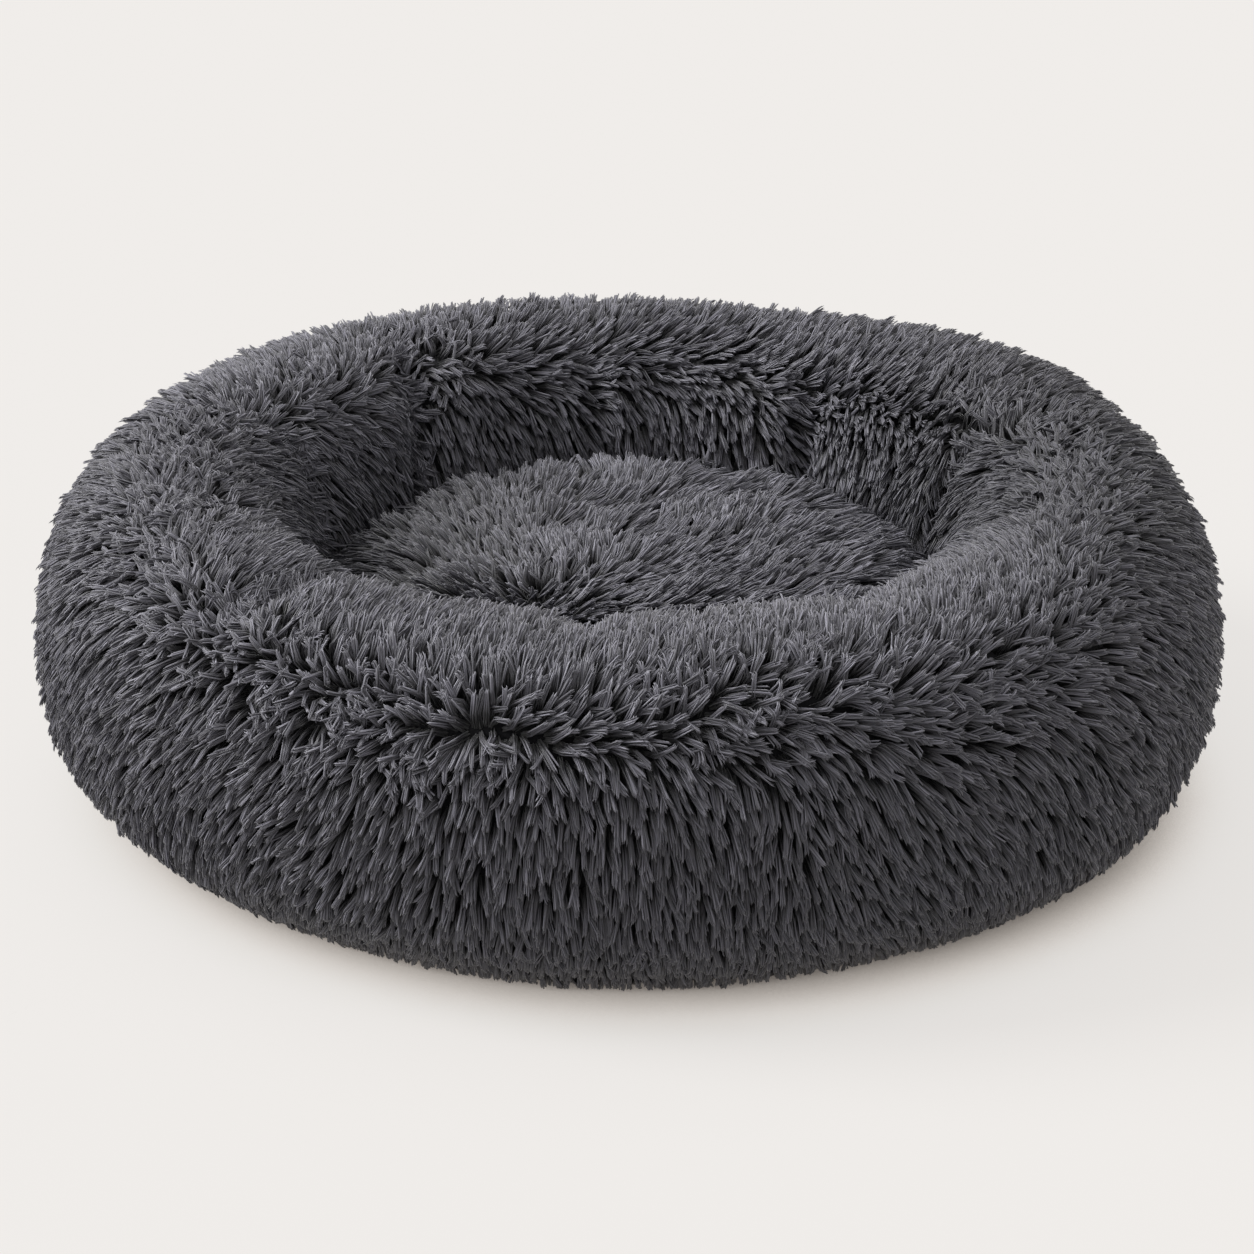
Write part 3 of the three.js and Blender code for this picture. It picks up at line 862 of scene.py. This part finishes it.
def lay_cushion_pile():
    rng = np.random.default_rng(12)
    flat_radius = cushion_reach - cushion_roots.length(-14)
    across, along = lock_pitch_across * 1.15, lock_pitch_along * 0.82
    columns = np.arange(-flat_radius, flat_radius, across)
    x, y = np.meshgrid(columns, np.arange(-flat_radius, flat_radius, along))
    x = x + (np.arange(x.shape[0]) % 2)[:, None] * across / 2
    x = (x + rng.uniform(-0.4, 0.4, x.shape) * across).ravel()
    y = (y + rng.uniform(-0.4, 0.4, y.shape) * along).ravel()
    inside = np.hypot(x, y) < flat_radius
    x, y = x[inside], y[inside]
    count = len(x)
    eddy = Waves(21, 3, 3)
    ruffle = Waves(22, 9, 9)(x * 20, y * 20)
    from_whorl = np.hypot(x - whorl[0], y - whorl[1])
    heading = np.arctan2(y - whorl[1], x - whorl[0]) + 0.42 * eddy(x * 20, y * 20) + 0.25 * ruffle
    heading += rng.normal(0, 0.22, count)
    loose = np.exp(-((from_whorl / 0.026) ** 2))
    heading += rng.normal(0, 1, count) * 0.8 * loose
    rim = smooth(np.hypot(x, y), 0.115, 0.155)
    locks = {
        "first": x,
        "second": y,
        "unit": np.ones(count),
        "heading": heading,
        "length": pile_length * rng.uniform(0.84, 1.12, count) * (1 - 0.2 * loose),
        "rise": np.radians(42 + 18 * loose + 12 * rim + 7 * ruffle) + rng.normal(0, 0.11, count),
        "settle": np.radians(17 + 22 * loose + 22 * rim + 12 * ruffle) + rng.normal(0, 0.13, count),
        "curl": rng.normal(0, 1, count) * (0.16 + 0.8 * loose),
        "half_width": lock_half_width * rng.uniform(0.85, 1.35, count),
        "tip_share": np.full(count, 0.6),
        "loose": np.full(count, 0.2),
        # Painted shade: the cushion's pile is coloured darker towards its left, where the ring's left wall
        # shades it.
        "tone": rng.uniform(0.86, 1.14, count) * (1 - 0.58 * smooth(-x, 0.01, 0.11)),
    }
    points, tone = strands(rng, locks, on_cushion)
    fibre_turn = np.repeat(np.arctan2(y, x), fibres_per_lock)
    lay_pile("cushion", "cushion", cushion_pile, 6, fibre_turn, points, tone)


def turned_sheet(name, surface, angles, turns, thickness, leave_out=None):
    """A sheet of cloth round the bed's axis, given its own thickness inward."""
    grid = surface(turns[:, None], angles[None, :])
    rows, columns = grid.shape[:2]
    faces = []
    for i in range(rows):
        for j in range(columns - 1):
            if leave_out is not None and leave_out[i, j]:
                continue
            k = (i + 1) % rows
            faces.append((i * columns + j, k * columns + j, k * columns + j + 1, i * columns + j + 1))
    made = mesh_object(name, grid.reshape(-1, 3), faces)
    lengths = np.linalg.norm(np.diff(grid[0], axis=0), axis=1)
    along = np.concatenate([[0], np.cumsum(lengths)])
    spots = np.stack(np.broadcast_arrays(turns[:, None] * crown_radius, along[None]), -1)
    lay_weave(made, spots.reshape(-1, 2))
    shell = made.modifiers.new("thickness", "SOLIDIFY")
    shell.thickness = thickness
    shell.offset = -1
    return made


def ring_surface(depth, lumps=0.0):
    """The ring's surface at a depth: a function of radians round the bed and degrees round the section."""
    waves = Waves(31, 40, 14)

    def surface(turn, angle):
        deeper = depth + crease(turn, angle) - swell(turn, angle)
        deeper = deeper + lumps * waves(turn, np.radians(angle))
        radius, level = ring_point(angle, np.maximum(deeper, 0))
        return place_at(turn, *tuck(radius, level, turn, angle))

    return surface


def over_slot(angles, turns):
    """Which faces of a ring sheet lie over the zip's slot."""
    middle = (angles[1:] + angles[:-1]) / 2
    return (off_zip(turns)[:, None] < slot_half_angle) & (np.abs(middle - slot_angle) < slot_half_opening)


def make_ring_layers():
    turns = np.arange(288) / 288 * 2 * math.pi
    below_slot = np.linspace(outer_seam_angle, slot_angle - slot_half_opening, 10)
    above_slot = np.linspace(slot_angle + slot_half_opening, shoulder_seam_angle, 20)
    outer_angles = np.concatenate([below_slot, above_slot])
    well_angles = np.linspace(shoulder_seam_angle + seam_gap_angle, well_seam_angle, 56)
    all_angles = np.concatenate([outer_angles[:-1], well_angles, [liner_last_angle]])
    filling_angles = np.linspace(outer_seam_angle, outer_seam_angle + 360, 73)
    cover, slot = ring_surface(root_depth), over_slot(outer_angles, turns)
    outer = turned_sheet("outer_cover", cover, outer_angles, turns, backing_thickness, slot)
    dress(outer, "root", "plush", backing, "bolster_outer_cover")
    well = turned_sheet("well_cover", cover, well_angles, turns, backing_thickness)
    dress(well, "root", "plush", backing, "bolster_well_cover")
    bag, slot = ring_surface(liner_depth), over_slot(all_angles, turns)
    liner = turned_sheet("liner_bag", bag, all_angles, turns, liner_thickness, slot)
    dress(liner, "root", "liner", liner_cloth, "bolster_liner_bag")
    stuffing = ring_surface(filling_depth, filling_lumps)
    filling = turned_sheet("ring_fibre_filling", stuffing, filling_angles, turns, filling_thickness)
    dress(filling, "root", "filling", fibre_fill, "bolster_fibre_filling")


def make_cushion_layers():
    turns = np.arange(120) / 120 * 2 * math.pi
    axis_gap = 0.0002

    def surface(depth):
        def at(turn, angle):
            radius, level = cushion_point(angle, depth)
            return place_at(turn, np.maximum(radius, axis_gap), level)

        return at

    upper, lower, whole = np.linspace(0.5, 90, 28), np.linspace(-90, 0, 28), np.linspace(-90, 90, 40)
    top = turned_sheet("cushion_top", surface(cushion_backing_depth), upper, turns, backing_thickness)
    dress(top, "cushion", "plush", backing, "cushion_top_cover")
    bottom = turned_sheet("cushion_underside", surface(0), lower, turns, underside_thickness)
    dress(bottom, "cushion", "tape_cloth", plain_cloth, "cushion_bottom_cover")
    stuffing = surface(cushion_filling_depth)
    filling = turned_sheet("cushion_filling", stuffing, whole, turns, filling_thickness)
    dress(filling, "cushion", "filling", fibre_fill, "cushion_fibre_filling")


def spun(profile, steps, flat_end=False):
    """The points and faces of a profile of (radius, height) points, turned round the Z axis.

    It begins on the axis, and ends on it too or, with flat_end, in a flat face.
    """
    inner = profile[1:] if flat_end else profile[1:-1]
    turns = [2 * math.pi * i / steps for i in range(steps)]
    points = [(0, 0, profile[0][1])]
    for radius, level in inner:
        points += [(radius * math.cos(turn), radius * math.sin(turn), level) for turn in turns]
    faces = [(0, 1 + (i + 1) % steps, 1 + i) for i in range(steps)]
    for ring in range(len(inner) - 1):
        low, high = 1 + ring * steps, 1 + (ring + 1) * steps
        faces += [(low + i, low + (i + 1) % steps, high + (i + 1) % steps, high + i) for i in range(steps)]
    last = len(points) - steps
    if flat_end:
        faces.append(tuple(last + i for i in range(steps)))
    else:
        faces += [(last + i, last + (i + 1) % steps, len(points)) for i in range(steps)]
        points.append((0, 0, profile[-1][1]))
    return points, faces


def copies(name, points, faces, places):
    """One mesh of many copies of a small closed form, each moved by a 3 by 4 matrix."""
    points = np.asarray(points)
    all_points, all_faces = [], []
    for i, matrix in enumerate(places):
        all_points.append(points @ matrix[:, :3].T + matrix[:, 3])
        all_faces += [[corner + i * len(points) for corner in face] for face in faces]
    return mesh_object(name, np.concatenate(all_points), all_faces)


def dome(radius, height, rings=4):
    """A domed dot, its flat face up and its crown down to zero height."""
    bends = [math.pi / 2 * ring / rings for ring in range(rings + 1)]
    profile = [(radius * math.sin(bend), height * (1 - math.cos(bend))) for bend in bends]
    return spun(profile, 20, flat_end=True)


def capsule(length, thickness):
    """A short bead of thread along X, with rounded ends."""
    stations = [(-0.5, 0), (-0.42, 0.7), (-0.2, 1), (0.2, 1), (0.42, 0.7), (0.5, 0)]
    points, faces = spun([(share * thickness / 2, place * length) for place, share in stations], 6)
    return [(z, x, y) for x, y, z in points], faces


def make_base():
    """The coated base cloth, its seam and its printed grip dots."""
    low, high = base_top - base_thickness, base_top
    rim = base_radius - base_thickness / 2
    profile = [(0, low)]
    profile += [(rim * share, low) for share in np.linspace(0.1, 1, 10)]
    for bend in np.linspace(-60, 60, 5):
        radius = rim + base_thickness / 2 * math.cos(math.radians(bend))
        profile.append((radius, (low + high) / 2 + base_thickness / 2 * math.sin(math.radians(bend))))
    profile += [(rim * share, high) for share in np.linspace(1, 0.1, 10)]
    profile.append((0, high))
    cloth = mesh_object("base_panel_cloth", *spun(profile, 144))
    lay_weave(cloth, [(v.co.x, v.co.y) for v in cloth.data.vertices])
    dress(cloth, "root", "base_cloth", base_cloth, "base_panel")

    row_pitch = dot_pitch * math.sin(math.radians(60))
    rows = int(base_radius / row_pitch)
    places = []
    for row in range(-rows, rows + 1):
        for column in range(-rows, rows + 1):
            x = (column + math.fmod(row, 2) / 2) * dot_pitch
            y = row * row_pitch
            if math.hypot(x, y) <= base_radius - 2 * dot_radius:
                places.append(np.hstack([np.eye(3), [[x], [y], [0]]]))
    dots = copies("base_grip_dots", *dome(dot_radius, low + dot_sink), places)
    dress(dots, "root", "base_cloth", grip_rubber)

    seam_radius = base_radius - seam_inset
    count = round(2 * math.pi * seam_radius / stitch_pitch)
    places = []
    for i in range(count):
        turn = 2 * math.pi * i / count
        around = [[-math.sin(turn), math.cos(turn), 0], [math.cos(turn), math.sin(turn), 0], [0, 0, 1]]
        middle = [seam_radius * math.cos(turn), seam_radius * math.sin(turn), low]
        places.append(np.hstack([np.array(around).T, np.array(middle)[:, None]]))
    seam = copies("base_seam_stitches", *capsule(stitch_length, thread_thickness), places)
    dress(seam, "root", "base_cloth", sewing_thread)


def make_tapes():
    """The zip's two woven tapes, one over its teeth and one under them."""
    foot = np.array(ring_point(zip_foot_angle, pile_thickness))
    head = np.array(ring_point(zip_head_angle, pile_thickness))
    middle = (foot + head) / 2
    up = (head - foot) / np.linalg.norm(head - foot)
    out = np.array([up[1], -up[0]])
    outline = []
    for place in np.linspace(0, 1, 7):
        outline.append((tape_near + (tape_far - tape_near) * place, 0))
    for place in np.linspace(1, 0, 7):
        outline.append((tape_near + (tape_far - tape_near) * place, -tape_thickness))
    steps = 140
    turns = np.radians(zip_middle_angle + np.linspace(-slot_half_angle, slot_half_angle, steps + 1))
    for name, node, side in (
        ("zip_upper_woven_tape", "zip_upper_tape", 1),
        ("zip_lower_woven_tape", "zip_lower_tape", -1),
    ):
        section = [middle + side * across * up + depth * out for across, depth in outline[::side]]
        count = len(section)
        points, spots, faces = [], [], []
        for turn in turns:
            points += [(reach * math.cos(turn), reach * math.sin(turn), level) for reach, level in section]
            spots += [(turn * middle[0], across) for across, _ in outline[::side]]
        for i in range(steps):
            for j in range(count):
                k = (j + 1) % count
                faces.append((i * count + j, i * count + k, (i + 1) * count + k, (i + 1) * count + j))
        faces.append(tuple(range(count))[::-1])
        faces.append(tuple(steps * count + j for j in range(count)))
        tape = mesh_object(name, points, faces)
        lay_weave(tape, spots)
        take_off_edges(tape, 0.00018)
        dress(tape, "root", "tape_cloth", zip_tape, node)


def finish_zip():
    """Plastic teeth and painted metal for the zip's own pieces, with their edges taken off."""
    for node, finish, width in (
        ("zip_upper_teeth", zip_plastic, 0.0002),
        ("zip_lower_teeth", zip_plastic, 0.0002),
        ("zip_closed_end_stop", zip_paint, 0.0003),
        ("zip_open_end_stop", zip_paint, 0.0003),
        ("zip_slider", zip_paint, 0.0002),
        ("zip_pull", zip_paint, 0.0002),
    ):
        made = bpy.data.objects[node]
        made.data.materials.clear()
        made.data.materials.append(finish)
        take_off_edges(made, width)


pale_ground = linear(241, 238, 235)
ground_bounce = linear(114, 112, 110)  # what it throws back at the bed
camera_place = (-0.0015, -1.4409, 0.6956)
camera_target = (-0.0015, 0, 0.0676)
camera_lens = 87.16


def seen_share(made):
    """1 for what the camera sees, straight or in gloss or glass, and 0 for light on its way to the bed."""
    path = add_node(made, "LightPath").outputs
    seen = path["Is Camera Ray"]
    for other in ("Is Glossy Ray", "Is Transmission Ray"):
        seen = add_node(made, "Math", {0: seen, 1: path[other]}, operation="MAXIMUM").outputs[0]
    return seen


def make_floor_material():
    """Pale ground. Much of the paleness that shows is its own, less only close under the bed.

    So the bed's shadow is light, but dark where they touch. How close it is, is looked for a little towards
    the key light, so that the shadow is darker on the bed's other side.
    """
    own_share = 0.81
    made, shader = new_material("floor", Roughness=1, Specular_IOR_Level=0)
    seen = seen_share(made)
    lit = shaded(pale_ground, (1 - own_share) * 0.86)
    link(made, blended(made, seen, ground_bounce, lit), shader.inputs["Base Color"])
    lit_side = add_node(made, "CombineXYZ", {"X": -0.36, "Y": -0.14, "Z": 0.92}).outputs["Vector"]
    near = add_node(made, "AmbientOcclusion", {"Distance": 0.046, "Normal": lit_side}, samples=8)
    shades = [
        (0, linear(14, 12, 11)),
        (0.17, linear(140, 132, 125)),
        (0.35, linear(210, 203, 196)),
        (0.5, linear(231, 226, 221)),
        (0.65, linear(238, 235, 231)),
        (0.8, pale_ground),
    ]
    glow = add_node(made, "Math", {0: seen, 1: own_share}, operation="MULTIPLY")
    link(made, ramped(made, near.outputs["AO"], shades), shader.inputs["Emission Color"])
    link(made, glow.outputs[0], shader.inputs["Emission Strength"])
    return made


def make_world():
    world = bpy.data.worlds.new("studio")
    bpy.context.scene.world = world
    world.use_nodes = True
    light = world.node_tree.nodes["Background"]
    light.inputs["Color"].default_value = (1, 0.99, 0.99, 1)
    light.inputs["Strength"].default_value = 0.38
    shown = add_node(world, "Background", {"Color": pale_ground, "Strength": 1.0})
    mix = add_node(world, "MixShader", {0: seen_share(world), 1: light.outputs[0], 2: shown.outputs[0]})
    link(world, mix.outputs[0], world.node_tree.nodes["World Output"].inputs["Surface"])


def aim(thing, place, target):
    """Puts a camera or lamp at a place, looking at a target."""
    thing.location = place
    thing.rotation_euler = (Vector(target) - Vector(place)).to_track_quat("-Z", "Y").to_euler()


def add_sun(name, toward, strength, spread):
    """A far, soft light that comes from a direction, spread over an angle in degrees."""
    lamp = bpy.data.lights.new(name, "SUN")
    lamp.energy = strength
    lamp.angle = math.radians(spread)
    aim(new_object(name, lamp), toward, (0, 0, 0))


def make_stage():
    bpy.ops.mesh.primitive_plane_add(size=30, location=(0, 0, 0))
    floor = bpy.context.object
    floor.name = "floor"
    floor.data.materials.append(make_floor_material())
    make_world()
    add_sun("key", toward=(-1.5, 0.2, 1.1), strength=2.45, spread=27)
    add_sun("top", toward=(-0.3, 0.4, 2), strength=0.85, spread=50)


def make_camera():
    camera = bpy.data.cameras.new("camera")
    camera.lens = camera_lens
    camera.sensor_width = 36
    holder = new_object("camera", camera)
    aim(holder, camera_place, camera_target)
    bpy.context.scene.camera = holder
    bpy.context.scene.view_settings.view_transform = "Standard"


make_camera()
make_stage()
make_ring_layers()
make_cushion_layers()
make_base()
make_tapes()
finish_zip()
lay_ring_pile()
lay_cushion_pile()
